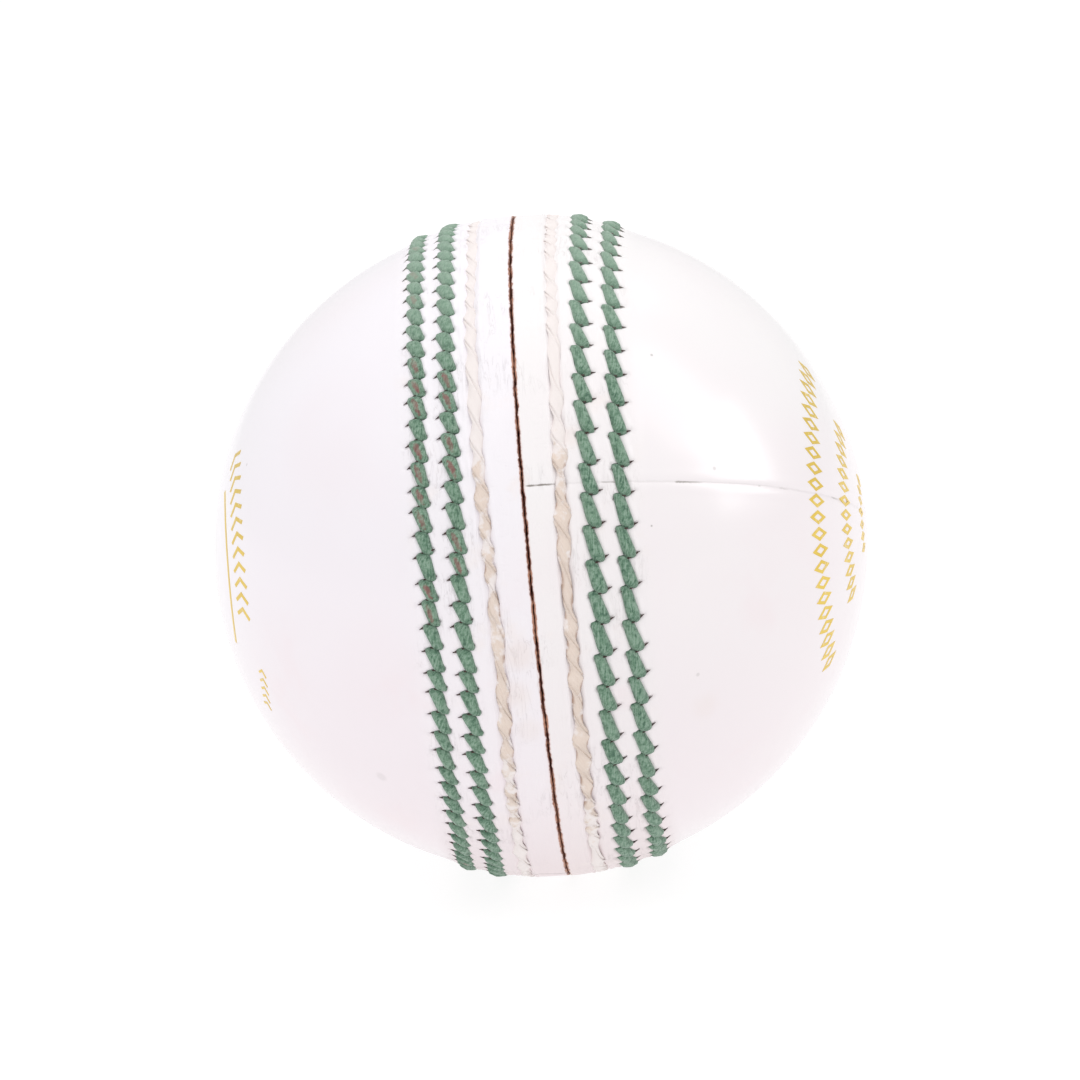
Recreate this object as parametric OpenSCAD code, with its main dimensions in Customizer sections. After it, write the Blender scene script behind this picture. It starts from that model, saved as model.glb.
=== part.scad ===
/* [Ball] */
// Radius of the leather domes, away from the seam
ball_r = 35.8; // [33:0.1:36.4]
// How far the seam stands above the domes at the join
seam_rise = 0.45; // [0.3:0.05:0.7]
// Half width of the raised band along the seam
seam_half_w = 13; // [12.5:0.5:15]
// Thickness of the leather over the domes
cover_t = 4; // [3.9:0.1:4.4]
// Gap between the two leather cups at the join
join_gap = 0.35; // [0.2:0.05:0.6]
// Gap between the two leather quarters of one cup
quarter_gap = 0.06; // [0.04:0.01:0.12]
// Turn of the right cup's quarter seam about the X axis, from the top towards the front
quarter_turn = 68; // [50:1:130]

/* [Core] */
// Radius of the cork and rubber centre
nucleus_r = 11; // [9:0.5:14]
// Thickness of one cork wrap
cork_t = 1.3; // [0.8:0.1:1.6]
// Number of cork gores in a wrap
cork_gores = 6; // [4:1:8]

/* [Stitching] */
// Distance of the closing rows from the join
closing_x = 4; // [3.6:0.1:4.2]
// Distance of the inner coloured rows from the join
inner_row_x = 7.05; // [6.8:0.05:7.3]
// Distance of the outer coloured rows from the join
outer_row_x = 10.4; // [10:0.1:10.8]
// Stitches in a coloured row of the left cup
left_stitches = 88; // [70:2:90]
// Stitches in a coloured row of the right cup, and in each closing row
right_stitches = 66; // [60:2:80]
// Thickness of a stitch lying on the leather
stitch_d = 1.2; // [0.9:0.05:1.3]
// Thickness of the thread where it runs inside the leather
thread_d = 0.7; // [0.5:0.05:0.8]

/* [Gilt stamps] */
// Thickness of the gilt film
gilt_t = 0.05; // [0.03:0.01:0.1]
// Share of each step along a ring of marks that is gilt
gilt_share = 0.62; // [0.3:0.02:0.9]

/* [Hidden] */
$fn = 48;

// A cup's outline: a circle of ball_r, and a smaller circle nearer the seam that makes the raised band.
seam_r = ball_r + seam_rise;
band_edge_r = sqrt(pow(ball_r, 2) - pow(seam_half_w, 2));
crown_offset = (pow(seam_r, 2) - pow(ball_r, 2)) / (2 * (seam_r - band_edge_r));
crown_r = seam_r - crown_offset;
far = 2 * ball_r;

// The cover's inside, with the seam packing let into it.
slip = 0.05;
cover_inner_r = ball_r - cover_t;
packing_t = 0.6;
packing_half_w = 12;
lip_round = 0.5;

// The stitched channels, and the holes that the awl leaves.
channel_r = 1.1;
channel_lift = 0.45;
stitch_lift = channel_lift + stitch_d / 2 - channel_r + 0.03;
stitch_tip_r = 0.3;
hole_d = thread_d + 0.12;
run_depth = 2.6;
run_d = thread_d + 0.2;
dive_x = 0.8;

// The closing thread crosses under the join on an arc.
crossing_depth = 2;
crossing_r = (pow(closing_x, 2) + pow(crossing_depth, 2)) / (2 * crossing_depth);
crossing_reach = asin(closing_x / crossing_r);
crossing_step = 360 / right_stitches;

// The hidden seam between the two quarters of a cup.
tape_t = 0.35;
tape_half_w = 2.4;
quarter_recess = 1.05;
quarter_ring_r = 1.6;
quarter_ring_lift = 0.7;
quarter_thread_d = 0.6;
quarter_pitch = 6;
quarter_reach = 60;
left_turn = quarter_turn + 90;

// The core's layers: five cork wraps, each bound by a winding of yarn.
wrap_t = (cover_inner_r - slip - nucleus_r) / 5;
cork_cap = 14;
cork_joint = 1.5;

function wrap_r(i) = nucleus_r + i * wrap_t;
function crown_angle(x) = asin(x / crown_r);
function ring_pitch(x, count) = 2 * PI * (crown_offset + crown_r * cos(crown_angle(x))) / count;

// Turns a shape made about Z so that its axis is the ball's X axis.
module about_x() rotate([0, 90, 0]) children();

// The left cup is made as the right one is, and mirrored across the join.
module left() mirror([1, 0, 0]) children();

// Puts a shape on the seam band, x from the join and turned about the ball's axis. Its Z points out.
module on_band(x, turn)
    rotate([turn, 0, 0])
        translate([0, 0, crown_offset])
            rotate([0, crown_angle(x), 0])
                translate([0, 0, crown_r]) children();

// Puts a flat shape in the half section of a cup, x from the join and lift above the leather.
module row_spot(x, lift)
    translate([crown_offset, 0])
        rotate(crown_angle(x))
            translate([crown_r + lift, 0]) children();

// A flat ring about the origin, from one radius to another.
module flat_ring(r_in, r_out)
    difference() {
        circle(r_out);
        circle(r_in);
    }

// What is cut from a cup's sharp edge at the join to leave it round.
module lip_corner()
    difference() {
        translate([0, -1]) square([lip_round + 1, lip_round + 1]);
        translate([0, lip_round]) circle(lip_round);
    }

// A cup in half section: X is the distance from the ball's axis, and Y is the distance from the join.
module cup_section()
    difference() {
        intersection() {
            union() {
                circle(ball_r);
                translate([crown_offset, 0]) circle(crown_r);
            }
            translate([0, join_gap / 2]) square([far, far]);
        }
        circle(cover_inner_r);
        intersection() {
            circle(cover_inner_r + packing_t);
            square([far, packing_half_w]);
        }
        translate([seam_r - lip_round, join_gap / 2]) lip_corner();
        for (x = [closing_x, inner_row_x, outer_row_x]) row_spot(x, channel_lift) circle(channel_r);
        for (x = [inner_row_x, outer_row_x]) row_spot(x, -run_depth) circle(d = run_d + 0.12);
    }

// The slanting leg from the thread's run inside the leather up to the surface, past it by extra.
module stitch_leg(d, extra)
    translate([0, 0, -run_depth])
        rotate([0, atan2(dive_x, run_depth), 0])
            cylinder(h = norm([dive_x, run_depth]) + extra, d = d);

// The arc on which a closing thread crosses under the join, longer at each end by extra degrees.
module crossing_arc(d, extra)
    translate([0, 0, seam_r + crossing_r - crossing_depth])
        rotate([90, 0, 0])
            rotate(-90 - crossing_reach - extra)
                rotate_extrude(angle = 2 * (crossing_reach + extra))
                    translate([crossing_r, 0]) circle(d = d);

// The frame of a quarter seam: its XY plane is the plane of that seam.
module quarter_frame(seam_turn) rotate([seam_turn - 90, 0, 0]) children();

// A flat section swept along a quarter seam.
module seam_arc()
    rotate(-quarter_reach - 4) rotate_extrude(angle = 2 * (quarter_reach + 4)) children();

// Puts a shape where a hidden stitch crosses a quarter seam: its X points out, and its Z runs along the seam.
module quarter_spot(phi)
    rotate(phi) translate([cover_inner_r + quarter_ring_lift, 0, 0]) rotate([90, 0, 0]) children();

// All that is cut from a quarter for its threads and for the tape of its quarter seam.
module quarter_cuts(count, seam_turn, side) {
    start = seam_turn - 90 - 90 * side;
    first = ceil((start - quarter_turn) / crossing_step - 0.25);
    for (x = [inner_row_x, outer_row_x], i = [0 : count / 2 - 1])
        on_band(x, start + (i + 0.5) * 360 / count) stitch_leg(hole_d, 0.8);
    for (i = [first : first + right_stitches / 2 - 1])
        rotate([quarter_turn + (i + 0.25) * crossing_step, 0, 0]) crossing_arc(hole_d, 4);
    quarter_frame(seam_turn) {
        seam_arc() translate([cover_inner_r - 1, -tape_half_w - slip])
            square([quarter_recess + 1, 2 * (tape_half_w + slip)]);
        for (phi = [-quarter_reach : quarter_pitch : quarter_reach])
            quarter_spot(phi) rotate_extrude() translate([quarter_ring_r, 0])
                circle(d = quarter_thread_d + 0.12);
    }
}

// One leather quarter of the right cup. A side of 1 lies above the plane of its quarter seam, and -1 below.
module leather_quarter(count, seam_turn, side)
    color("ghostwhite")
        difference() {
            quarter_frame(seam_turn)
                difference() {
                    rotate([side * 90 - 90, 0, 0]) about_x() rotate(90)
                        rotate_extrude(angle = 180) cup_section();
                    cube([2 * far, 2 * far, quarter_gap], center = true);
                }
            quarter_cuts(count, seam_turn, side);
        }

module leather_right(side) leather_quarter(right_stitches, quarter_turn, side);
module leather_left(side) left() leather_quarter(left_stitches, left_turn, side);

// A spindle lying along Y, as thick as d in the middle and small at its ends.
module spindle(length, d)
    rotate([90, 0, 0]) rotate_extrude()
        intersection() {
            bow = (pow(length / 2, 2) + pow(d / 2 - stitch_tip_r, 2)) / (d - 2 * stitch_tip_r);
            translate([d / 2 - bow, 0]) circle(bow, $fn = 96);
            translate([0, -length / 2]) square([d, length]);
        }

// A coloured row on the right cup: its stitches, their legs, and the thread's run inside the leather.
module seam_row(x, count, seam_turn, slant)
    color("seagreen") {
        for (i = [0 : count - 1]) {
            on_band(x, seam_turn + i * 360 / count) translate([0, 0, stitch_lift]) rotate([0, 0, slant])
                spindle(ring_pitch(x, count) - 0.1, stitch_d);
            on_band(x, seam_turn + (i + 0.5) * 360 / count) stitch_leg(thread_d, 0);
        }
        about_x() rotate_extrude() row_spot(x, -run_depth) circle(d = run_d);
    }

// The stitches of the left cup are finer, and slant more.
module seam_row_right(x) seam_row(x, right_stitches, quarter_turn, 11);
module seam_row_left(x) left() seam_row(x, left_stitches, left_turn, -16);

// The closing thread: slanted turns of waxed linen on both sides of the join, and its crossings under it.
module closing_thread()
    color("linen")
        for (i = [0 : right_stitches - 1]) {
            for (side = [0, 1]) mirror([side, 0, 0])
                on_band(closing_x, quarter_turn + (i + 0.75) * crossing_step)
                    translate([0, 0, stitch_lift]) rotate([0, 0, 12 - 24 * side])
                        spindle(ring_pitch(closing_x, right_stitches) - 0.25, stitch_d);
            rotate([quarter_turn + (i + 0.25) * crossing_step, 0, 0]) crossing_arc(thread_d, -2);
        }

// The cloth strip under the lips that packs the seam up.
module seam_packing()
    color("tan") about_x() rotate_extrude()
        intersection() {
            flat_ring(cover_inner_r, cover_inner_r + packing_t - slip);
            translate([0, slip - packing_half_w]) square([far, 2 * (packing_half_w - slip)]);
        }

// The cloth tape under a quarter seam.
module quarter_tape(seam_turn)
    color("wheat") quarter_frame(seam_turn) seam_arc()
        intersection() {
            flat_ring(cover_inner_r, cover_inner_r + tape_t);
            translate([0, -tape_half_w]) square([far, 2 * tape_half_w]);
        }

// The hidden stitches of a quarter seam: each is a half ring through both leathers, closed by a chord inside.
module quarter_stitches(seam_turn)
    color("linen") quarter_frame(seam_turn)
        for (phi = [-quarter_reach : quarter_pitch : quarter_reach])
            quarter_spot(phi) {
                rotate(-90) rotate_extrude(angle = 180)
                    translate([quarter_ring_r, 0]) circle(d = quarter_thread_d);
                rotate([90, 0, 0]) cylinder(h = 2 * quarter_ring_r, d = quarter_thread_d, center = true);
            }

module cork_rubber_centre() color("peru") sphere(nucleus_r - slip);

// The flat section of a cork piece, between two angles from its axis.
module cork_section(r_in, low, high)
    intersection() {
        flat_ring(r_in, r_in + cork_t - slip);
        polygon([[0, 0], for (a = [low, (low + high) / 2, high]) 3 * r_in * [sin(a), cos(a)]]);
    }

// One cork wrap: gores cut like orange peel, and a round cap at each end of their axis.
module cork_wrap(i)
    color("burlywood") rotate([0, 35 * i, 50 * i]) {
        for (k = [0 : cork_gores - 1])
            rotate(k * 360 / cork_gores) rotate_extrude(angle = 360 / cork_gores - cork_joint)
                cork_section(wrap_r(i - 1), cork_cap + 1, 179 - cork_cap);
        for (flip = [0, 180])
            rotate([flip, 0, 0]) rotate_extrude() cork_section(wrap_r(i - 1), 0, cork_cap);
    }

// One winding of worsted yarn, pulled down to a closed shell.
module yarn_winding(i)
    color("antiquewhite")
        difference() {
            sphere(wrap_r(i) - slip);
            sphere(wrap_r(i - 1) + cork_t);
        }

// A row of film marks on the right dome: polar is their angle from the pole, and the turns are from the top.
module gilt_row(polar, half_w, first_turn, last_turn, count)
    for (k = [0 : count - 1])
        about_x() rotate(180 + first_turn + k * (last_turn - first_turn) / count)
            rotate_extrude(angle = gilt_share * (last_turn - first_turn) / count)
                intersection() {
                    flat_ring(ball_r, ball_r + gilt_t);
                    polygon([[0, 0], for (a = [polar - half_w, polar + half_w]) far * [sin(a), cos(a)]]);
                }

module gilt_stamp_right()
    color("goldenrod") {
        gilt_row(31.5, 1.7, 13, 133, 26);
        gilt_row(20.5, 1.7, 22, 120, 16);
        gilt_row(10.5, 1.2, 30, 110, 8);
    }

module gilt_stamp_left()
    color("goldenrod") {
        gilt_row(32.5, 0.9, 112, 130, 5);
        gilt_row(27.7, 1.8, 29, 97, 9);
        gilt_row(22, 0.4, 39, 114, 3);
    }

cork_rubber_centre();
cork_wrap(1);  // cork_wrap_1
yarn_winding(1);  // yarn_winding_1
cork_wrap(2);  // cork_wrap_2
yarn_winding(2);  // yarn_winding_2
cork_wrap(3);  // cork_wrap_3
yarn_winding(3);  // yarn_winding_3
cork_wrap(4);  // cork_wrap_4
yarn_winding(4);  // yarn_winding_4
cork_wrap(5);  // cork_wrap_5
yarn_winding(5);  // yarn_winding_5
seam_packing();
left() quarter_tape(left_turn);  // quarter_tape_left
quarter_tape(quarter_turn);  // quarter_tape_right
left() quarter_stitches(left_turn);  // quarter_stitches_left
quarter_stitches(quarter_turn);  // quarter_stitches_right
leather_left(1);  // leather_quarter_left_front
leather_left(-1);  // leather_quarter_left_back
leather_right(1);  // leather_quarter_right_upper
leather_right(-1);  // leather_quarter_right_lower
closing_thread();
seam_row_left(inner_row_x);  // seam_row_left_inner
seam_row_left(outer_row_x);  // seam_row_left_outer
seam_row_right(inner_row_x);  // seam_row_right_inner
seam_row_right(outer_row_x);  // seam_row_right_outer
left() gilt_stamp_left();
gilt_stamp_right();
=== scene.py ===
import math
import random

import bmesh
import bpy
import numpy as np
from mathutils import Matrix, Vector


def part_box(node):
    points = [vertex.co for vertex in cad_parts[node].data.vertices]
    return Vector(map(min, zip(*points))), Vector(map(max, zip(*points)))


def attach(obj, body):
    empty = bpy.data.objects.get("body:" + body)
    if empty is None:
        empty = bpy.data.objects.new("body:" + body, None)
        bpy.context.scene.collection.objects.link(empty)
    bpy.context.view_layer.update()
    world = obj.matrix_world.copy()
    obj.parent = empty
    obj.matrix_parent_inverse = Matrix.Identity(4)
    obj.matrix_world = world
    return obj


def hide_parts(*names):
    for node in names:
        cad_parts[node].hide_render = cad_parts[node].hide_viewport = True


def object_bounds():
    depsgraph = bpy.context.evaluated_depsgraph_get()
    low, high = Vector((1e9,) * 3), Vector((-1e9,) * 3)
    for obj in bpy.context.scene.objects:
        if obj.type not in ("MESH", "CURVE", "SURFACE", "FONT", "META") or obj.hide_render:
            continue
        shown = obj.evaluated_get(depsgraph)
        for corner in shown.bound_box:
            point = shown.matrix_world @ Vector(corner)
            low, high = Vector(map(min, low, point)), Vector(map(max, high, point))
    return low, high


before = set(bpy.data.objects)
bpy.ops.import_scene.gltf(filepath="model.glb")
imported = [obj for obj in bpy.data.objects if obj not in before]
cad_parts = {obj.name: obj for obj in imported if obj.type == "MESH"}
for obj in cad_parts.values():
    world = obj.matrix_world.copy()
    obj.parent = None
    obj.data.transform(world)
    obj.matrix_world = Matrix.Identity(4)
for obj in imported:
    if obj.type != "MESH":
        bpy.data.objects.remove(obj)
cadBox = [list(corner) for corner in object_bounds()]
mm = 0.001
print("frame loaded:", len(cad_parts), "CAD nodes")

# the ball's outline, as the CAD has it
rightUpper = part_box("leather_quarter_right_upper")
ball = {
    "domeR": rightUpper[1].x,         # radius of the leather domes
    "seamR": rightUpper[1].z,         # radius at the top of the seam
    "bandHalf": 13 * mm,              # half width of the raised seam band
    "innerR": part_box("yarn_winding_5")[1].x + 0.12 * mm,
    "packing": 0.6 * mm,              # how far the packing is let into the leather
    "packingHalf": 12 * mm,
    "joinHalf": 0.05 * mm,            # half the gap between the two cups
    "lipR": 0.24 * mm,                # rounding of the lips at the join
    "seamTurn": {1: math.radians(68), -1: math.radians(158)},   # the quarter seams
}
bandEdgeR = math.sqrt(ball["domeR"] ** 2 - ball["bandHalf"] ** 2)
crownOffset = (ball["seamR"] ** 2 - ball["domeR"] ** 2) / (2 * (ball["seamR"] - bandEdgeR))
crownR = ball["seamR"] - crownOffset

# A turn is measured from the top of the ball towards the front.
# The coloured rows: cup (-1 left, 1 right), distance from the join, stitches in a round,
# turn of the first one, lean in degrees, fatness, and how many are stained at a turn.
rows = {
    "seam_row_left_outer": {"side": -1, "x": 10.4 * mm, "count": 88, "first": 0.5, "slant": 14, "fat": 1.13,
                            "stains": [(-60, 0), (20, 0.2), (38, 0.8), (88, 0.8), (94, 0.1), (150, 0.05),
                                       (220, 0)]},
    "seam_row_left_inner": {"side": -1, "x": 7.05 * mm, "count": 88, "first": 0.5, "slant": 14, "fat": 1.13,
                            "stains": [(-60, 0), (20, 0.1), (38, 0.5), (75, 0.4), (84, 0.0), (220, 0)]},
    "seam_row_right_inner": {"side": 1, "x": 7.05 * mm, "count": 66, "first": 4.7, "slant": 12, "fat": 1.07},
    "seam_row_right_outer": {"side": 1, "x": 10.4 * mm, "count": 66, "first": 4.7, "slant": 12, "fat": 1.07},
}
closing = {
    "x": 4.0 * mm,
    "lobes": 66,            # half twists that show in one round
    "plies": [0.19, -0.19],   # how far each of the two plies lies from the cord's middle, mm
    "plyHalf": (0.27, 0.75),  # half a ply towards the other one, and across that, mm
    "flat": 0.66,             # how much the wax and the lacquer have flattened it
    "legTop": 0.35,           # where its legs leave the rows, under the face, mm
    "legR": 0.3,
    "dip": 1.9,               # how much deeper it goes under the join, mm
    "wander": 0.08 * mm,
    "sunk": {1: 0.06 * mm, -1: 0.16 * mm},
    # how far each row strays outwards, mm, at turns from the top, degrees
    "stray": {1: [(0, 0.2), (45, 0.3), (80, 0.05), (130, 0.0), (250, 0.1)],
              -1: [(0, 0.3), (45, 0.42), (75, 0.05), (98, -0.45), (122, 0.0), (150, 0.1), (260, 0.15)]},
    # how far it sinks more, mm, where the lacquer has filled it in
    "filled": [(-60, 0.2), (0, 0.26), (28, 0.24), (50, 0.03), (140, 0.02), (165, 0.20), (200, 0.2)],
}


# small helpers

def clearSelection():
    if bpy.context.object and bpy.context.object.mode != "OBJECT":
        bpy.ops.object.mode_set(mode="OBJECT")
    bpy.ops.object.select_all(action="DESELECT")


def keep(piece, name, body="root"):   # names a finished piece and puts it on its body
    piece.name = name
    piece.data.name = name
    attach(piece, body)
    return piece


def ripple(turn, seed, slowest, fastest, parts=6):   # a smooth random wave round the ball, about -1 to 1
    draw = random.Random(seed)
    total = 0
    for _ in range(parts):
        total = total + np.sin(turn * draw.randint(slowest, fastest) + draw.uniform(0, 2 * math.pi))
    return total / math.sqrt(parts) * 0.8


def bump(distance, width):
    return np.exp(-(distance / width) ** 2)


def crownSpot(side, x, turn, lift=0.0):   # a place on the seam band and its frame: outwards, along, up
    angle = math.asin(x / crownR)
    radial = Vector((0, -math.sin(turn), math.cos(turn)))
    axis = Vector((side, 0, 0))
    up = axis * math.sin(angle) + radial * math.cos(angle)
    out = axis * math.cos(angle) - radial * math.sin(angle)
    spot = radial * crownOffset + up * (crownR + lift)
    place = Matrix((out, up.cross(out), up)).transposed().to_4x4()
    place.translation = spot
    return place


def ringR(x):
    return crownOffset + math.sqrt(crownR ** 2 - x ** 2)


# every stitch ends where an awl went through: those spots, with the unevenness of hand work
for number, (rowName, row) in enumerate(rows.items()):
    draw = random.Random(40 + number)
    step = 2 * math.pi / row["count"]
    row["step"] = step
    row["pitch"] = step * ringR(row["x"])
    row["holes"] = np.array([math.radians(row["first"]) + k * step + draw.uniform(-0.07, 0.07) * step
                             for k in range(row["count"])])
    row["wander"] = 0.09 * mm * ripple(row["holes"], 60 + number, 2, 9)


# leather cover

def along(table, turn):   # reads a table of (degrees, millimetres) at any turn
    return np.interp(np.degrees(turn), [p[0] for p in table], [p[1] for p in table], period=360) * mm


def closingMid(side, turn):
    stray = along(closing["stray"][side], turn)
    return closing["x"] + stray + closing["wander"] * ripple(turn, 20 + side, 3, 14)


def joinWander(turn):   # the join isn't quite a plane either
    drift = 0.27 * mm * (1 + np.tanh(2.2 * np.sin(turn - math.radians(78))))
    return drift + 0.04 * mm * ripple(turn, 31, 4, 12) + 0.03 * mm * ripple(turn, 32, 30, 90, 10)


relief = {   # heights over the plain outline, where they are and how wide, mm
    "swell": (0.035, 8, 7),            # of the whole band
    "lip": (0.05, 1.0, 0.9),           # unevenness beside the join
    "cordChannel": (-0.46, 0, 0.60),   # pressed in by the closing cord
    "cordRim": (0.13, 0.95, 0.24),     # pushed up beside it
    # darkening in the cord's channel: dirt and painted shade
    "cordDirtAndShade": (0.4, 0, 0.42),
    "stitchChannel": (-0.36, 0, 0.54),
    "stitchRim": (0.12, 0.96, 0.27),
    # darkening beside the stitches: dirt and painted shade
    "stitchDirtAndShade": (0.12, 0.62, 0.2),
    "slit": (-0.24, 0, 0.19),          # left by the awl
    # darkening in the awl slits: painted shadow of the slits, with some dirt
    "slitDirtAndShade": (0.55, 0, 0.22),
    "slitReach": (-0.9, 1.45),
    "slitSlope": 0.36,
    "slitShift": -0.12,
    "seamDip": (-0.05, 0, 0.25),       # at the quarter seam
    "seamRim": (0.02, 0.8, 0.5),
}


def reliefAt(part, distance, unit=mm):
    height, place, width = relief[part]
    return height * unit * bump(distance - place * mm, width * mm)


def leatherRelief(side, x, turn):   # how far the leather stands off its plain outline, and how much dirt and painted shade it gets in the cord channel, beside the stitches and in the awl slits
    lift = ripple(turn, 50 + side, 2, 6) * reliefAt("swell", x)
    edge = np.clip((x - ball["joinHalf"]) / ball["lipR"], 0, 1)
    lift = lift - ball["lipR"] * (1 - np.sqrt(1 - (1 - edge) ** 2))
    lift = lift + ripple(turn, 52 + side, 8, 40, 10) * reliefAt("lip", x)
    away = np.abs(x - closingMid(side, turn))
    rim = 0.6 + 0.6 * ripple(turn, 54 + side, 20, 70, 10) + 0.4 * (x < closing["x"])
    lift = lift + reliefAt("cordChannel", away) + reliefAt("cordRim", away) * rim
    soil = reliefAt("cordDirtAndShade", away, 1)
    for row in rows.values():
        if row["side"] != side:
            continue
        near = np.round((turn - math.radians(row["first"])) / row["step"]).astype(int)
        full = near // row["count"]
        near = near % row["count"]
        forward = -side * (turn - full * 2 * math.pi - row["holes"][near]) * ringR(row["x"])
        across = x - row["x"] - row["wander"][near]
        half = row["pitch"] / 2
        inStitch = np.where(forward > 0, forward - half, forward + half)
        body = np.abs(across + math.tan(math.radians(row["slant"])) * inStitch)
        swell = np.cos(np.pi * inStitch / row["pitch"]) ** 2
        lift = lift + reliefAt("stitchChannel", body) + reliefAt("stitchRim", body) * (0.25 + 0.75 * swell)
        slitX = np.clip(across, relief["slitReach"][0] * mm, relief["slitReach"][1] * mm)
        slitY = relief["slitShift"] * mm + relief["slitSlope"] * slitX
        slit = np.hypot(across - slitX, forward - slitY)
        lift = lift + reliefAt("slit", slit)
        soil = soil + reliefAt("slitDirtAndShade", slit, 1) + reliefAt("stitchDirtAndShade", body, 1)
    domeOut = np.sqrt(np.maximum(ball["domeR"] ** 2 - x ** 2, 0))
    fromSeam = np.abs(np.sin(turn - ball["seamTurn"][side])) * domeOut
    return lift + reliefAt("seamDip", fromSeam) + reliefAt("seamRim", fromSeam), soil


def coverSection():   # half section of a cup: distance from the join, distance from the axis
    joinHalf, band = ball["joinHalf"], 12.2 * mm
    near = [joinHalf + step * mm for step in (0, 0.02, 0.06, 0.12, 0.2, 0.3, 0.42)]
    fine = list(np.arange(joinHalf + 0.56 * mm, band, 0.15 * mm))
    shoulder = [band + 0.3 * mm * k for k in range(1, 5)]
    outer = []
    for x in near + fine + shoulder:
        crown = crownOffset + math.sqrt(crownR ** 2 - x ** 2)
        dome = math.sqrt(ball["domeR"] ** 2 - x ** 2)
        outer.append((x, max(crown, dome)))
    start = math.acos(shoulder[-1] / ball["domeR"])
    domeSteps = 42
    for k in range(1, domeSteps + 1):
        polar = start * (1 - k / domeSteps)
        outer.append((ball["domeR"] * math.cos(polar), ball["domeR"] * math.sin(polar)))
    inner = []
    innerEnd = math.acos(ball["packingHalf"] / ball["innerR"])
    for k in range(16):
        polar = innerEnd * k / 15
        inner.append((ball["innerR"] * math.cos(polar), ball["innerR"] * math.sin(polar)))
    packR = ball["innerR"] + ball["packing"]
    for x in (12, 9, 6, 3, 0.13):
        inner.append((x * mm, math.sqrt(packR ** 2 - (x * mm) ** 2)))
    face = [(joinHalf, ball["seamR"] - depth * mm) for depth in (2.6, 1.6, 0.9, 0.45)]
    return outer + inner + face


def coverMaster(turnSteps=480):   # half a cup before its relief, from the top round to the bottom
    section = coverSection()
    clearSelection()
    bpy.ops.mesh.primitive_circle_add(vertices=len(section), radius=ball["domeR"], fill_type="NOTHING")
    master = bpy.context.object
    for vertex, (x, r) in zip(master.data.vertices, section):
        vertex.co = (x, 0, r)
    bpy.ops.object.mode_set(mode="EDIT")
    bpy.ops.mesh.select_all(action="DESELECT")
    shape = bmesh.from_edit_mesh(master.data)
    for edge in shape.edges:   # the edge on the axis isn't wanted
        edge.select = all(vertex.co.z < 1e-6 for vertex in edge.verts)
    bmesh.update_edit_mesh(master.data)
    bpy.ops.mesh.delete(type="EDGE")
    bpy.ops.mesh.select_all(action="SELECT")
    bpy.ops.mesh.spin(steps=turnSteps // 4, angle=math.pi / 4, center=(0, 0, 0), axis=(1, 0, 0))
    bpy.ops.mesh.select_all(action="SELECT")
    bpy.ops.mesh.spin(steps=3, dupli=True, angle=math.pi * 3 / 4, center=(0, 0, 0), axis=(1, 0, 0))
    bpy.ops.mesh.select_all(action="SELECT")
    bpy.ops.mesh.remove_doubles(threshold=1e-6)
    bpy.ops.mesh.fill_holes(sides=0)
    bpy.ops.mesh.normals_make_consistent(inside=False)
    bpy.ops.object.mode_set(mode="OBJECT")
    return master


def leatherQuarter(name, side, startTurn, master):
    mesh = master.data.copy()
    if side < 0:   # the other cup's half runs the other way about
        mesh.transform(Matrix.Rotation(math.pi, 4, "Z"))
        startTurn = startTurn + math.pi
    mesh.transform(Matrix.Rotation(startTurn, 4, "X"))
    piece = bpy.data.objects.new(name, mesh)
    bpy.context.scene.collection.objects.link(piece)
    spots = np.empty(len(mesh.vertices) * 3)
    mesh.vertices.foreach_get("co", spots)
    spots = spots.reshape(-1, 3)
    x = np.abs(spots[:, 0])
    r = np.hypot(spots[:, 1], spots[:, 2])
    turn = np.arctan2(-spots[:, 1], spots[:, 2])
    size = np.hypot(x, r)
    skin = np.clip((size - ball["domeR"] + 0.8 * mm) / (0.5 * mm), 0, 1)
    lift, soil = leatherRelief(side, x, turn)
    onCrown = size > ball["domeR"] + 0.002 * mm
    crownX = np.clip(x / crownR, 0, 0.99)
    normalX = np.where(onCrown, crownX, x / size)
    normalR = np.where(onCrown, np.sqrt(1 - crownX ** 2), r / size)
    sideways = side * (x + normalX * lift * skin) + joinWander(turn) * bump(x, 2.2 * mm)
    sideways = sideways - side * 0.05 * mm * ripple(turn, 70 + side, 60, 380, 14) * bump(x, 0.3 * mm)
    radial = r + normalR * lift * skin
    spots = np.stack([sideways, -radial * np.sin(turn), radial * np.cos(turn)], axis=1)
    mesh.vertices.foreach_set("co", spots.ravel())
    # the darkening kept with each point is dirt and painted shade in the recesses
    for mark, amount in (("soil", soil * skin), ("fromLip", (x - ball["joinHalf"]) / mm)):
        mesh.attributes.new(mark, "FLOAT", "POINT").data.foreach_set("value", amount.astype(np.float32))
    mesh.update()
    clearSelection()
    piece.select_set(True)
    bpy.context.view_layer.objects.active = piece
    bpy.ops.object.shade_smooth_by_angle(angle=math.radians(50))
    return keep(piece, name)


# stitches

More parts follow.
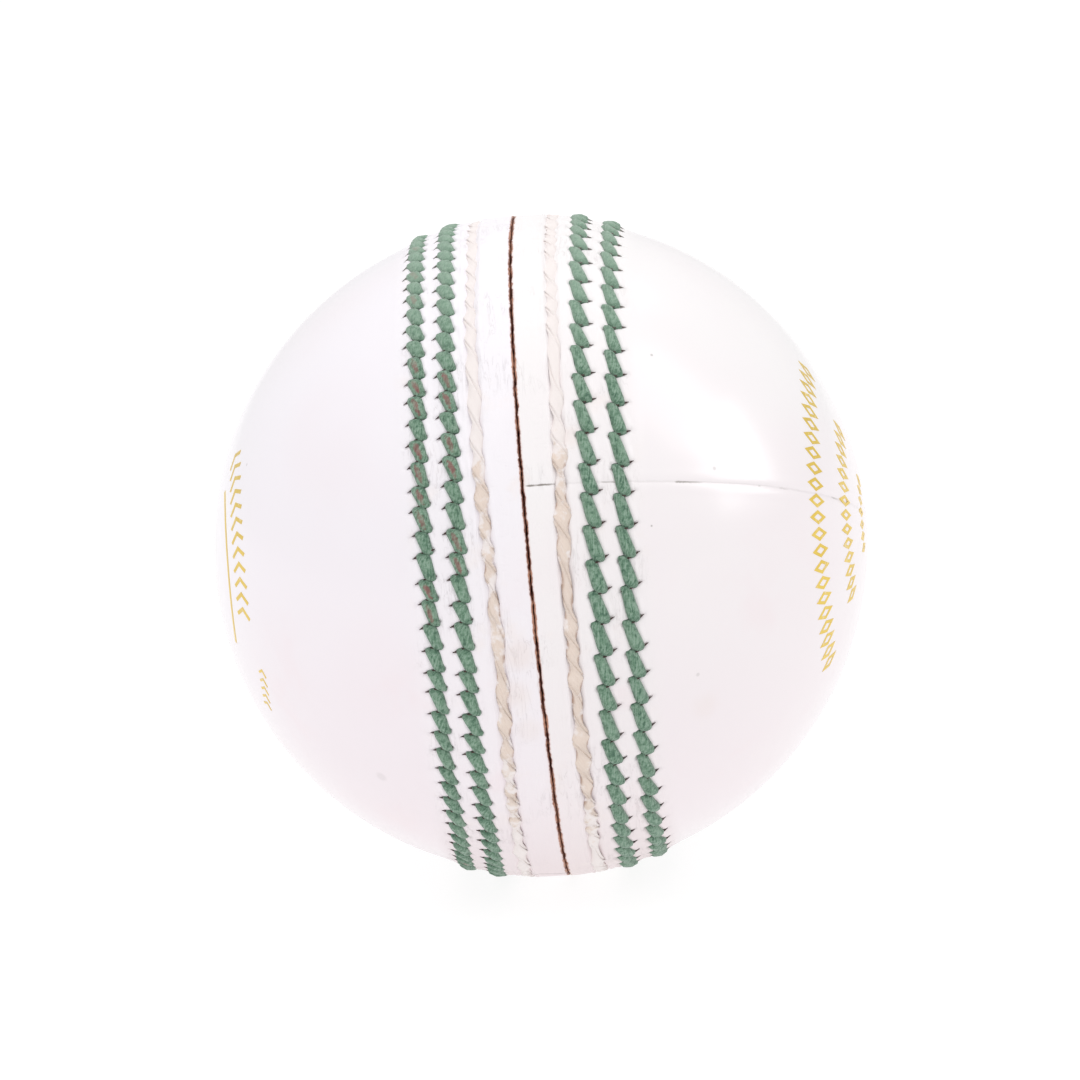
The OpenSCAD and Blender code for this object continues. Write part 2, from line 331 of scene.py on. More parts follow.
stitchShape = {   # stations from the end that comes up to the end that dives, mm
    # share of the half pitch, sideways, height, half width, half thickness
    "stations": [
        (1.14, -0.06, -0.44, 0.34, 0.22),
        (1.00, -0.07, -0.24, 0.50, 0.36),
        (0.74, -0.05, -0.10, 0.59, 0.43),
        (0.15, -0.02, -0.03, 0.65, 0.46),
        (-0.45, 0.03, 0.00, 0.72, 0.48),
        (-0.78, 0.07, -0.01, 0.71, 0.45),
        (-0.98, 0.10, -0.07, 0.59, 0.39),
        (-1.10, 0.14, -0.17, 0.38, 0.27),
        (-1.16, 0.18, -0.27, 0.12, 0.11),
    ],
    "sides": 8,
    # a dark sliver under the stitch's end, painted shadow of the awl slit: outwards, along, height, half
    # width
    "slit": [
        (-0.92, -0.46, -0.16, 0.03),
        (-0.66, -0.36, -0.02, 0.10),
        (-0.10, -0.26, 0.05, 0.10),
        (0.40, -0.10, 0.04, 0.10),
        (0.80, 0.10, -0.06, 0.16),
        (1.15, 0.27, -0.08, 0.12),
        (1.58, 0.43, -0.13, 0.02),
    ],
}


def stitchMaster(pitch, slant, fat):
    stations, sides = stitchShape["stations"], stitchShape["sides"]
    clearSelection()
    bpy.ops.mesh.primitive_cylinder_add(vertices=sides, radius=1, depth=1, end_fill_type="NGON")
    stitch = bpy.context.object
    bpy.ops.object.mode_set(mode="EDIT")
    shape = bmesh.from_edit_mesh(stitch.data)
    for edge in shape.edges:
        edge.select = abs(edge.verts[0].co.z - edge.verts[1].co.z) > 0.5
    bmesh.update_edit_mesh(stitch.data)
    bpy.ops.mesh.subdivide(number_cuts=len(stations) - 2)
    bpy.ops.object.mode_set(mode="OBJECT")
    mesh = stitch.data
    layer = mesh.uv_layers.active or mesh.uv_layers.new(name="UVMap")
    layer.name = "UVMap"
    half = pitch / 2
    for face in mesh.polygons:
        spots = [mesh.vertices[v].co for v in face.vertices]
        turns = [math.atan2(spot.y, spot.x) / (2 * math.pi) % 1 for spot in spots]
        wraps = max(turns) - min(turns) > 0.5
        for loop, spot, around in zip(face.loop_indices, spots, turns):
            layer.data[loop].uv = (0.5 - spot.z, around + (1 if wraps and around < 0.5 else 0))
    for vertex in mesh.vertices:
        place = (0.5 - vertex.co.z) * (len(stations) - 1)
        low = min(int(round(place)), len(stations) - 1)
        lengthwise, sideways, height, wide, thick = stations[low]
        y = lengthwise * half
        x = -math.tan(math.radians(slant)) * y + sideways * mm + vertex.co.x * wide * fat * mm
        vertex.co = (x, y, height * mm + vertex.co.y * thick * mm)
    # the dark sliver stands for the shadow in the awl slit
    slit = sweptSpike([(x, y - half / mm, z, w) for x, y, z, w in stitchShape["slit"]])
    for part in (slit, stitch):
        part.data.materials.append(bpy.data.materials["greenThread"])
        part.data.materials.append(bpy.data.materials["slitShadowSliver"])
    slit.data.uv_layers.new(name="UVMap")
    for face in slit.data.polygons:
        face.material_index = 1
    clearSelection()
    slit.select_set(True)
    stitch.select_set(True)
    bpy.context.view_layer.objects.active = stitch
    bpy.ops.object.join()
    bpy.ops.object.mode_set(mode="EDIT")
    bpy.ops.mesh.select_all(action="SELECT")
    bpy.ops.mesh.normals_make_consistent(inside=False)
    bpy.ops.object.mode_set(mode="OBJECT")
    bpy.ops.object.shade_smooth()
    return stitch


def sweptSpike(stations, sides=4):   # a thin spike along stations of outwards, along, height, half width
    clearSelection()
    bpy.ops.mesh.primitive_circle_add(vertices=sides, radius=1, fill_type="NGON")
    spike = bpy.context.object
    bpy.ops.object.mode_set(mode="EDIT")
    for _ in stations[1:]:
        bpy.ops.mesh.select_mode(type="FACE")
        bpy.ops.mesh.extrude_region_move(TRANSFORM_OT_translate={"value": (0, 0, 1)})
    bpy.ops.object.mode_set(mode="OBJECT")
    for vertex in spike.data.vertices:
        x, y, z, wide = stations[int(round(vertex.co.z))]
        vertex.co = (x * mm, (y + vertex.co.x * wide) * mm, (z + vertex.co.y * wide) * mm)
    return spike


def stitchRow(name, row, master):
    grown = bmesh.new()
    tint = grown.verts.layers.float.new("tint")
    stain = grown.verts.layers.float.new("stain")
    draw = random.Random(name)
    count, side = row["count"], row["side"]
    for k in range(count):
        lower = row["holes"][k]
        upper = row["holes"][(k - side) % count]
        span = (upper - lower + math.pi) % (2 * math.pi) - math.pi
        stretch = abs(span) / row["step"]
        place = crownSpot(side, row["x"] + row["wander"][k], lower + span / 2, 0.0)
        shape = Matrix.Rotation(math.radians(draw.uniform(-2.5, 2.5)), 4, "Z") @ Matrix.Diagonal(
            (draw.uniform(0.95, 1.05), stretch * draw.uniform(0.99, 1.02), draw.uniform(0.94, 1.08), 1))
        before = len(grown.verts)
        grown.from_mesh(master.data)
        grown.verts.ensure_lookup_table()
        shade = draw.random()
        share = np.interp(math.degrees(lower), *zip(*row.get("stains", [(0, 0)])), period=360)
        marked = share > draw.random()
        for vertex in grown.verts[before:]:
            vertex.co = place @ shape @ vertex.co
            vertex[tint] = shade
            vertex[stain] = draw.uniform(0.5, 1.0) if marked else 0
    mesh = bpy.data.meshes.new(name)
    grown.to_mesh(mesh)
    grown.free()
    for material in master.data.materials:
        mesh.materials.append(material)
    stitches = bpy.data.objects.new(name + "_stitches", mesh)
    bpy.context.scene.collection.objects.link(stitches)
    run = threadRun(row)
    clearSelection()
    run.select_set(True)
    stitches.select_set(True)
    bpy.context.view_layer.objects.active = stitches
    bpy.ops.object.join()
    return keep(stitches, name)


def threadRun(row, depth=2.6 * mm, thick=0.45 * mm):   # the thread's way inside the leather
    angle = math.asin(row["x"] / crownR)
    across = row["side"] * (crownR - depth) * math.sin(angle)
    clearSelection()
    bpy.ops.mesh.primitive_torus_add(major_segments=180, minor_segments=8, minor_radius=thick,
                                     major_radius=crownOffset + (crownR - depth) * math.cos(angle))
    run = bpy.context.object
    run.data.transform(Matrix.Translation((across, 0, 0)) @ Matrix.Rotation(math.pi / 2, 4, "Y"))
    run.data.materials.append(bpy.data.materials["greenThread"])
    bpy.ops.object.shade_smooth()
    return run


def closingCord():   # both closing rows, each a two-ply cord pressed flat
    perLobe, sides = 14, 12
    samples = closing["lobes"] * perLobe
    turns = np.linspace(0, 2 * math.pi, samples, endpoint=False)
    corners, faces, crest, around = [], [], [], []
    for side in (1, -1):
        twist = side * (closing["lobes"] / 2 * turns + 1.7 * ripple(turns, 80 + side, 3, 18, 8))
        size = np.clip(1 + 0.24 * ripple(turns, 82 + side, 6, 44, 12), 0.66, 1.28)
        shown = np.cos(twist) ** 2   # 1 where the plies lie side by side
        middle = -closing["sunk"][side] - along(closing["filled"], turns)
        mid = closingMid(side, turns)
        wide, thick = closing["plyHalf"]
        for offset in closing["plies"]:
            base = len(corners)
            for k in range(samples):
                place = crownSpot(side, mid[k], turns[k], middle[k])
                pressed = Matrix.Diagonal((1, 1, closing["flat"] * (1 - 0.45 * shown[k])))
                lean = pressed @ Matrix.Rotation(twist[k], 3, "Y")
                for j in range(sides):
                    angle = 2 * math.pi * j / sides
                    ring = Vector((offset + wide * math.cos(angle), 0, thick * math.sin(angle)))
                    spot = lean @ ring * size[k] * mm
                    corners.append(place @ spot)
                    crest.append(spot.z / mm / 0.36)
                    around.append((k, j))
            for k in range(samples):
                for j in range(sides):
                    nextJ, nextK = (j + 1) % sides, (k + 1) % samples
                    faces.append((base + k * sides + j, base + k * sides + nextJ,
                                  base + nextK * sides + nextJ, base + nextK * sides + j))
    axis, stations, sidesIn = Vector((1, 0, 0)), 9, 6
    for k in range(closing["lobes"]):   # under the join the thread goes across from one row to the other
        turn = 2 * math.pi * k / closing["lobes"]
        radial = Vector((0, -math.sin(turn), math.cos(turn)))
        tangent = radial.cross(axis)
        base = len(corners)
        for s in range(stations):
            t = math.pi * s / (stations - 1)
            x = closing["x"] * math.cos(t)
            below = closing["legTop"] + closing["dip"] * math.sin(t)
            middle = axis * x + radial * (ringR(abs(x)) - below * mm)
            normal = (axis * math.cos(t) + radial * -math.sin(t)).normalized()
            for j in range(sidesIn):
                angle = 2 * math.pi * j / sidesIn
                ring = tangent * math.cos(angle) + normal * math.sin(angle)
                corners.append(middle + ring * closing["legR"] * mm)
                crest.append(1.0)
                around.append((s, j))
        for s in range(stations - 1):
            for j in range(sidesIn):
                nextJ = (j + 1) % sidesIn
                faces.append((base + s * sidesIn + j, base + s * sidesIn + nextJ,
                              base + (s + 1) * sidesIn + nextJ, base + (s + 1) * sidesIn + j))
        faces.append(tuple(base + j for j in range(sidesIn)))
        faces.append(tuple(base + (stations - 1) * sidesIn + j for j in range(sidesIn)))
    mesh = bpy.data.meshes.new("closing_cord")
    mesh.from_pydata(corners, [], faces)
    mesh.attributes.new("crest", "FLOAT", "POINT").data.foreach_set("value", np.array(crest, np.float32))
    layer = mesh.uv_layers.new(name="UVMap")
    uv = np.empty((len(mesh.loops), 2), np.float32)
    for face in mesh.polygons:
        spots = [around[v] for v in face.vertices]
        for loop, (k, j) in zip(face.loop_indices, spots):
            if k == 0 and max(s[0] for s in spots) > 1:
                k = samples
            if j == 0 and max(s[1] for s in spots) > 1:
                j = sides
            uv[loop] = (k / perLobe, j / sides)
    layer.data.foreach_set("uv", uv.ravel())
    cord = bpy.data.objects.new("closing_cord_rows", mesh)
    bpy.context.scene.collection.objects.link(cord)
    mesh.materials.append(bpy.data.materials["closingLinen"])
    clearSelection()
    cord.select_set(True)
    bpy.context.view_layer.objects.active = cord
    bpy.ops.object.mode_set(mode="EDIT")
    bpy.ops.mesh.select_all(action="SELECT")
    bpy.ops.mesh.normals_make_consistent(inside=False)
    bpy.ops.object.mode_set(mode="OBJECT")
    bpy.ops.object.shade_smooth()
    return keep(cord, "closing_cord")


# gilt ornament

borders = {   # chains of motifs: degrees from the pole, half height mm, first and last turn, motifs, kind
    "gilt_stamp_right": {"side": 1, "chains": [
        (31.5, 1.6, 13, 133, 22, "lozenge"), (20.5, 1.6, 22, 120, 14, "lozenge"),
        (10.5, 1.1, 30, 110, 7, "lozenge")]},
    "gilt_stamp_left": {"side": -1, "chains": [
        (32.5, 0.8, 112, 130, 5, "chevron"), (27.7, 1.7, 29, 97, 12, "chevron"),
        (22.0, 0.22, 39, 114, 30, "rule")]},
}
foil = {"line": 0.34, "top": 0.030, "bottom": -0.05}   # width of a stroke and heights over the dome, mm
motifShapes = {
    "lozenge": [(1, 0), (0, 1), (-1, 0), (0, -1)],
    "chevron": [(-0.8, 0), (0.55, -1), (1, -0.8), (-0.1, 0), (1, 0.8), (0.55, 1)],
    "rule": [(-1, -1), (1, -1), (1, 1), (-1, 1)],
}


def flatMotif(kind, wide, high):   # one motif lying flat, mm, with its thickness
    corners = motifShapes[kind]
    clearSelection()
    bpy.ops.mesh.primitive_circle_add(vertices=len(corners), radius=1, fill_type="NGON")
    motif = bpy.context.object
    for vertex, (u, v) in zip(motif.data.vertices, corners):
        vertex.co = (u * wide, v * high, foil["bottom"])
    bpy.ops.object.mode_set(mode="EDIT")
    bpy.ops.mesh.select_all(action="SELECT")
    if kind == "lozenge":   # open in its middle
        bpy.ops.mesh.inset(thickness=foil["line"])
        bpy.ops.mesh.delete(type="FACE")
        bpy.ops.mesh.select_all(action="SELECT")
        bpy.ops.mesh.subdivide(number_cuts=1)
    bpy.ops.mesh.select_mode(type="FACE")
    bpy.ops.mesh.select_all(action="SELECT")
    bpy.ops.mesh.extrude_region_move(TRANSFORM_OT_translate={"value": (0, 0, foil["top"] - foil["bottom"])})
    bpy.ops.object.mode_set(mode="OBJECT")
    return motif


def giltBorder(name, border):
    grown = bmesh.new()
    for polar, high, first, last, count, kind in border["chains"]:
        ring = ball["domeR"] / mm * math.sin(math.radians(polar))
        pitch = math.radians(last - first) * ring / count
        wide = pitch * 0.5 if kind == "rule" else pitch * 0.43
        motif = flatMotif(kind, wide, high)
        for k in range(count):
            before = len(grown.verts)
            grown.from_mesh(motif.data)
            grown.verts.ensure_lookup_table()
            for vertex in grown.verts[before:]:
                fromPole = math.radians(polar) + vertex.co.y * mm / ball["domeR"]
                turn = math.radians(first) + ((k + 0.5) * pitch + vertex.co.x) / ring
                r = ball["domeR"] + vertex.co.z * mm
                across, out = border["side"] * r * math.cos(fromPole), r * math.sin(fromPole)
                vertex.co = (across, -out * math.sin(turn), out * math.cos(turn))
        bpy.data.objects.remove(motif)
    mesh = bpy.data.meshes.new(name)
    grown.to_mesh(mesh)
    grown.free()
    mesh.materials.append(bpy.data.materials["giltFilm"])
    piece = bpy.data.objects.new(name, mesh)
    bpy.context.scene.collection.objects.link(piece)
    clearSelection()
    piece.select_set(True)
    bpy.context.view_layer.objects.active = piece
    bpy.ops.object.mode_set(mode="EDIT")
    bpy.ops.mesh.select_all(action="SELECT")
    bpy.ops.mesh.normals_make_consistent(inside=False)
    bpy.ops.object.mode_set(mode="OBJECT")
    return keep(piece, name)


# shader expressions

class Wire:   # a socket that adds, multiplies and compares like a number
    def __init__(self, paint, socket):
        self.paint = paint
        self.socket = socket

    def math(self, operation, first, second=None):
        values = {0: first} if second is None else {0: first, 1: second}
        return self.paint.node("ShaderNodeMath", {"operation": operation}, values)

    def __add__(self, other):
        return self.math("ADD", self, other)

    def __sub__(self, other):
        return self.math("SUBTRACT", self, other)

    def __mul__(self, other):
        return self.math("MULTIPLY", self, other)

    def __truediv__(self, other):
        return self.math("DIVIDE", self, other)

    def __rsub__(self, other):
        return self.math("SUBTRACT", other, self)

    def __rtruediv__(self, other):
        return self.math("DIVIDE", other, self)

    def __pow__(self, other):
        return self.math("POWER", self, other)

    def __abs__(self):
        return self.math("ABSOLUTE", self)

    __radd__ = __add__
    __rmul__ = __mul__

    def sine(self):
        return self.math("SINE", self)

    def atMost(self, other):
        return self.math("MINIMUM", self, other)

    def atLeast(self, other):
        return self.math("MAXIMUM", self, other)

    def rise(self, low, high):   # 0 under low, 1 over high, smooth between
        settings = {"interpolation_type": "SMOOTHSTEP"}
        values = {"Value": self, "From Min": low, "From Max": high, "To Min": 0.0, "To Max": 1.0}
        if low > high:
            values.update({"From Min": high, "From Max": low, "To Min": 1.0, "To Max": 0.0})
        return self.paint.node("ShaderNodeMapRange", settings, values)


class Paint:   # one material and the nodes in it
    def __init__(self, name, **fixed):
        self.material = bpy.data.materials.new(name)
        self.material.use_nodes = True
        self.tree = self.material.node_tree
        self.shader = self.tree.nodes["Principled BSDF"]
        for socket, value in fixed.items():
            self.shader.inputs[socket.replace("_", " ")].default_value = value

    def node(self, kind, settings=None, values=None, out=0):
        made = self.tree.nodes.new(kind)
        for key, value in (settings or {}).items():
            if key == "stops":
                ramp = made.color_ramp
                while len(ramp.elements) < len(value):
                    ramp.elements.new(0.5)
                for element, (place, shade) in zip(ramp.elements, value):
                    element.position = place
                    element.color = (*shade, 1) if len(shade) == 3 else shade
            else:
                setattr(made, key, value)
        for key, value in (values or {}).items():
            self.feed(made.inputs[key], value)
        return Wire(self, made.outputs[out])

    def feed(self, socket, value):
        if isinstance(value, Wire):
            self.tree.links.new(value.socket, socket)
        elif socket.type == "RGBA" and len(value) == 3:
            socket.default_value = (*value, 1)
        else:
            socket.default_value = value

    def objectSpot(self):
        return self.node("ShaderNodeTexCoord", out="Object")

    def scaled(self, vector, scale):
        return self.node("ShaderNodeMapping", None, {"Vector": vector, "Scale": scale})

    def axes(self, vector):
        split = self.node("ShaderNodeSeparateXYZ", None, {"Vector": vector})
        outputs = split.socket.node.outputs
        return [Wire(self, outputs[k]) for k in range(3)]

    def noise(self, vector, scale, detail=3.0, roughness=0.5, distortion=0.0):
        values = {"Vector": vector, "Scale": scale, "Detail": detail, "Roughness": roughness,
                  "Distortion": distortion}
        return self.node("ShaderNodeTexNoise", None, values)

    def cells(self, vector, scale):
        return self.node("ShaderNodeTexVoronoi", None, {"Vector": vector, "Scale": scale})

    def attribute(self, name):
        return self.node("ShaderNodeAttribute", {"attribute_name": name}, None, "Fac")

    def mix(self, share, low, high):   # colours
        made = self.tree.nodes.new("ShaderNodeMix")
        made.data_type = "RGBA"
        for key, value in ((0, share), (6, low), (7, high)):
            self.feed(made.inputs[key], value)
        return Wire(self, made.outputs[2])

    def distance(self, vector, place):
        return self.node("ShaderNodeVectorMath", {"operation": "DISTANCE"}, {0: vector, 1: place}, "Value")

    def along(self, vector, direction):
        settings = {"operation": "DOT_PRODUCT"}
        return self.node("ShaderNodeVectorMath", settings, {0: vector, 1: direction}, "Value")

    def relief(self, height, distance, strength=1.0):
        values = {"Height": height, "Distance": distance, "Strength": strength}
        return self.node("ShaderNodeBump", None, values)

    def finish(self, **sockets):
        for socket, value in sockets.items():
            self.feed(self.shader.inputs[socket.replace("_", " ")], value)
        return self.material


# materials

leatherLook = {
    "leftWhite": (0.885, 0.850, 0.895),
    "rightWhite": (0.890, 0.862, 0.868),
    "pinkCloudAndShade": (0.865, 0.765, 0.800),
    "leftChalk": (0.905, 0.878, 0.905),
    "rightChalk": (0.885, 0.855, 0.855),
    "raw": (0.17, 0.055, 0.035),
    "fringe": (0.46, 0.23, 0.155),
    "smudge": (0.80, 0.67, 0.61),
    "soil": (0.42, 0.33, 0.30),
    "hair": (0.30, 0.27, 0.25),
    "patch": (0.88, 0.79, 0.76),
    "rosyBlotchAndShade": (0.88, 0.74, 0.77),
    # painted shade, darker and warmer towards the bottom of the band
    "bandBottomShade": (0.80, 0.68, 0.685),   # towards the bottom of the band
    "lipEdge": (0.72, 0.50, 0.42),
}
specks = [   # small marks in the lacquer: distance from the join, turn, radius, darkness
    (-17.9, 126.5, 0.85, 0.16), (-30.1, 43.1, 0.25, 0.3), (14.4, 42.4, 0.22, 0.5), (20.1, 65.0, 0.28, 0.35),
    (13.2, 76.0, 0.16, 0.6), (16.7, 105.8, 0.3, 0.25), (24.0, 200.0, 0.3, 0.4), (-16.0, 250.0, 0.25, 0.4),
    (-22.0, 310.0, 0.3, 0.35),
]
smudges = [   # stains in the paint: distance from the join, turn, radius, strength
    (-1.6, 96.0, 2.4, 0.35), (-2.4, 103.0, 2.2, 0.30), (-1.4, 110.0, 2.0, 0.2), (5.6, 60.0, 1.7, 0.30),
    (17.6, 113.0, 2.6, 0.16), (2.2, 190.0, 2.6, 0.3), (-5.4, 230.0, 2.2, 0.25), (2.0, 320.0, 2.4, 0.25),
]


def domeSpot(x, turn, r=None):   # a place on the dome, x and r in metres, turn in radians
    r = r or ball["domeR"]
    out = math.sqrt(r ** 2 - x ** 2)
    return Vector((x, -out * math.sin(turn), out * math.cos(turn)))


def lacqueredLeather(name, side):
    look = leatherLook
    paint = Paint(name, Roughness=0.42, Coat_Weight=0.6, Coat_Roughness=0.17, IOR=1.45)
    spot = paint.objectSpot()
    x, y, z = paint.axes(spot)
    fromJoin = abs(x)
    white = look["leftWhite"] if side < 0 else look["rightWhite"]
    cloud = paint.noise(spot, 42.0, 2.0)
    # pink clouds in the leather, plus a pink tint towards the bottom of the ball that is painted shade from
    # below
    pinkCloudAndShadeShare = cloud.rise(0.40, 0.75) * 0.35 + z.rise(0.022, -0.030) * 0.75
    colour = paint.mix(pinkCloudAndShadeShare.atMost(1.0), white, look["pinkCloudAndShade"])
    strokes = paint.noise(paint.scaled(spot, (2600, 130, 130)), 1.0, 4.0, 0.6)   # brushed round the ball
    inBand = fromJoin.rise(0.0135, 0.0110)
    chalk = look["leftChalk"] if side < 0 else look["rightChalk"]
    colour = paint.mix(inBand * (0.15 + 0.5 * strokes), colour, chalk)
    # darker and warmer towards the bottom of the band: painted shade
    colour = paint.mix(z.rise(-0.018, -0.036) * inBand * 0.7, colour, look["bandBottomShade"])
    patch = paint.noise(spot, 230.0, 3.0, 0.6).rise(0.55, 0.75)
    colour = paint.mix(patch * inBand * 0.4, colour, look["patch"])
    streaks = paint.noise(paint.scaled(spot, (1500, 210, 210)), 1.0, 3.0, 0.6, 0.9)
    worn = paint.noise(spot, 150.0, 2.0).rise(0.48, 0.62) * inBand
    flakes = abs(streaks - 0.5).rise(0.012, 0.003) * worn
    colour = paint.mix(flakes * 0.16, colour, look["soil"])
    # pink blotches kept to the lower half of the ball: the leather's own blotches, tinted there as painted
    # shade from below
    rosyBlotchAndShade = paint.noise(spot, 95.0, 3.0, 0.6).rise(0.56, 0.72) * z.rise(0.012, -0.012)
    colour = paint.mix(rosyBlotchAndShade * 0.35, colour, look["rosyBlotchAndShade"])
    for place, turn, radius, strength in smudges:
        if place * side > 0:
            gap = paint.distance(spot, domeSpot(place * mm, math.radians(turn), ball["seamR"]))
            gap = gap + patch * 0.0006
            colour = paint.mix(gap.rise(radius * mm, radius * 0.3 * mm) * strength, colour, look["smudge"])
    # dirt and painted shade in the cord channel, beside the stitches and in the awl slits
    soil = paint.attribute("soil").atMost(1.0)
    grit = paint.noise(spot, 2400.0, 3.0, 0.6)
    colour = paint.mix((soil * (0.35 + 0.9 * grit)).rise(0.25, 0.95) * 0.7, colour, look["soil"])
    for place, turn, radius, dark in specks:
        if place * side > 0:
            gap = paint.distance(spot, domeSpot(place * mm, math.radians(turn)))
            colour = paint.mix(gap.rise(radius * mm, radius * 0.35 * mm) * dark, colour, look["hair"])
    ragged = paint.noise(spot, 1500.0, 4.0, 0.65)
    edge = paint.attribute("fromLip") + (ragged - 0.5) * 0.28
    turn = ball["seamTurn"][side]
    fromSeam = abs(paint.along(spot, (0, math.cos(turn), math.sin(turn))) + (ragged - 0.5) * 0.00022)
    broken = paint.noise(spot, 210.0, 2.0, 0.6, 0.4)
    nearJoin = fromJoin.rise(0.0042, 0.0026)
    dash = (broken.rise(0.56, 0.64) * 0.75).atLeast(nearJoin * broken.rise(0.36, 0.44))
    hairline = fromSeam.rise(0.00014, 0.00005) * (0.10 + 0.9 * dash)
    colour = paint.mix(hairline, colour, look["hair"])
    colour = paint.mix(edge.rise(0.34, 0.16) * 0.35, colour, look["lipEdge"])
    frayed = paint.noise(spot, 420.0, 3.0, 0.7)
    raw = paint.mix(frayed.rise(0.42, 0.58), look["raw"], look["fringe"])
    colour = paint.mix((edge - frayed * 0.34).rise(0.04, -0.05), colour, raw)
    grain = paint.noise(spot, 900.0, 4.0, 0.55) * 0.5 + paint.cells(spot, 700.0) * 0.25
    wrinkles = paint.noise(paint.scaled(spot, (500, 1400, 1400)), 1.0, 3.0, 0.55, 1.2).rise(0.58, 0.72)
    height = strokes * inBand * 1.3 + grain * (0.10 + 0.5 * inBand) - wrinkles * inBand * 0.4 - flakes * 0.6
    height = height - fromSeam.rise(0.0002, 0.00002) * 0.6
    bumps = paint.relief(height, 0.00006, 0.6)
    rough = 0.32 + 0.22 * inBand + 0.12 * strokes * inBand + 0.3 * soil
    paint.finish(Base_Color=colour, Roughness=rough, Normal=bumps, Coat_Weight=0.8 - 0.65 * inBand)
    return paint.material


threadLook = {
    "dark": (0.130, 0.250, 0.165),
    "pale": (0.170, 0.295, 0.200),
    "fibre": (0.310, 0.440, 0.345),
    "between": (0.050, 0.115, 0.078),
    "end": (0.070, 0.165, 0.105),
    "hidden": (0.025, 0.055, 0.040),
    "topSheen": (0.32, 0.46, 0.355),   # at the top of the ball
    "stain": (0.30, 0.085, 0.095),
}


def dyedThread(name):
    look = threadLook
    paint = Paint(name, Roughness=0.75, Sheen_Weight=0.3, Sheen_Roughness=0.4, Specular_IOR_Level=0.3)
    uv = paint.node("ShaderNodeUVMap", {"uv_map": "UVMap"})
    u, v, _ = paint.axes(uv)
    spot = paint.objectSpot()
    x, y, z = paint.axes(spot)
    tint = paint.attribute("tint")
    strand = paint.node("ShaderNodeCombineXYZ", None, {0: u * 6.0 + tint * 37.0, 1: v * 22.0 - u * 15.0})
    fibres = paint.noise(strand, 1.0, 3.0, 0.7)
    mottle = paint.noise(spot, 2300.0, 3.0, 0.65)
    colour = paint.mix(tint, look["dark"], look["pale"])
    colour = paint.mix((fibres * 0.7 + mottle * 0.5).rise(0.54, 0.72) * 0.85, colour, look["fibre"])
    colour = paint.mix((fibres * 0.6 + mottle * 0.6).rise(0.60, 0.46) * 0.8, colour, look["between"])
    # darker towards the end that dives into the leather: painted shade
    colour = paint.mix(u.rise(0.45, 0.95) * 0.35, colour, look["end"])
    fromTop = ((u - 0.42) / 0.24) ** 2.0 + ((v - 0.25) / 0.09) ** 2.0
    blot = (fromTop + (mottle - 0.5) * 3.0).rise(1.0, 0.1) * paint.attribute("stain")
    colour = paint.mix(blot * 0.75, colour, look["stain"])
    # paler towards the top of the ball: painted sheen
    high = z.rise(0.022, 0.036)
    colour = paint.mix(high * 0.6, colour, look["topSheen"])
    # near-black at both ends of each stitch, where it tucks under its neighbour: painted shade
    ends = u.rise(0.14, 0.03).atLeast(u.rise(0.88, 0.97))
    colour = paint.mix(ends * 0.85, colour, look["hidden"])
    bumps = paint.relief(fibres * 1.2 + mottle * 0.6, 0.00016, 1.0)
    paint.finish(Base_Color=colour, Normal=bumps)
    return paint.material


# a near-black sliver: painted shadow in the awl slit
def slitShadowSliver(name):
    paint = Paint(name, Roughness=0.85, Specular_IOR_Level=0.15)
    spot = paint.objectSpot()
    grit = paint.noise(spot, 2600.0, 3.0)
    colour = paint.mix(grit, (0.030, 0.022, 0.020), (0.12, 0.080, 0.070))
    # lighter towards the top of the ball: painted sheen
    high = paint.axes(spot)[2].rise(0.020, 0.034)
    colour = paint.mix(high * 0.6, colour, (0.24, 0.24, 0.21))
    paint.finish(Base_Color=colour, Normal=paint.relief(grit, 0.00004, 0.8))
    return paint.material


linenLook = {
    "flax": (0.72, 0.575, 0.49),
    "bleached": (0.87, 0.765, 0.69),
    # painted shade between the plies
    "notchShade": (0.42, 0.27, 0.20),      # between the plies
    "lacquer": (0.87, 0.81, 0.80),
}


def closingLinen(name):
    look = linenLook
    paint = Paint(name, Roughness=0.62, Sheen_Weight=0.1, Specular_IOR_Level=0.35)
    uv = paint.node("ShaderNodeUVMap", {"uv_map": "UVMap"})
    u, v, _ = paint.axes(uv)
    spot = paint.objectSpot()
    x, y, z = paint.axes(spot)
    crest = paint.attribute("crest")
    fibres = paint.noise(paint.node("ShaderNodeCombineXYZ", None, {0: u * 3.0, 1: v * 26.0}), 1.0, 3.0, 0.6)
    colour = paint.mix(fibres, look["flax"], look["bleached"])
    painted = z.rise(0.012, 0.025).atLeast(z.rise(-0.020, -0.031) * 0.8)
    # darker where the cord lies low, between the plies and beside the leather: painted shade
    colour = paint.mix(crest.rise(0.55, 0.05) * (0.85 - 0.6 * painted), colour, look["notchShade"])
    blotch = paint.noise(spot, 620.0, 3.0, 0.6)
    daub = x.rise(0.001, -0.001) * 0.08 + painted * 0.5
    covered = (blotch + daub - crest * 0.16).rise(0.44, 0.60)
    colour = paint.mix(covered * 0.9, colour, look["lacquer"])
    bumps = paint.relief(fibres * (1.0 - 0.6 * covered), 0.00012, 0.9)
    paint.finish(Base_Color=colour, Normal=bumps)
    return paint.material


def giltFilm(name):
    paint = Paint(name, Metallic=0.75, Roughness=0.34)
    spot = paint.objectSpot()
    wear = paint.noise(spot, 1300.0, 3.0, 0.7).rise(0.56, 0.70)
    colour = paint.mix(paint.noise(spot, 300.0), (0.70, 0.48, 0.06), (0.86, 0.64, 0.14))
    colour = paint.mix(wear * 0.5, colour, (0.86, 0.78, 0.66))
    paint.finish(Base_Color=colour, Metallic=0.75 - 0.6 * wear, Roughness=0.3 + 0.3 * wear,
                 Normal=paint.relief(wear, 0.00002, 0.5))
    return paint.material


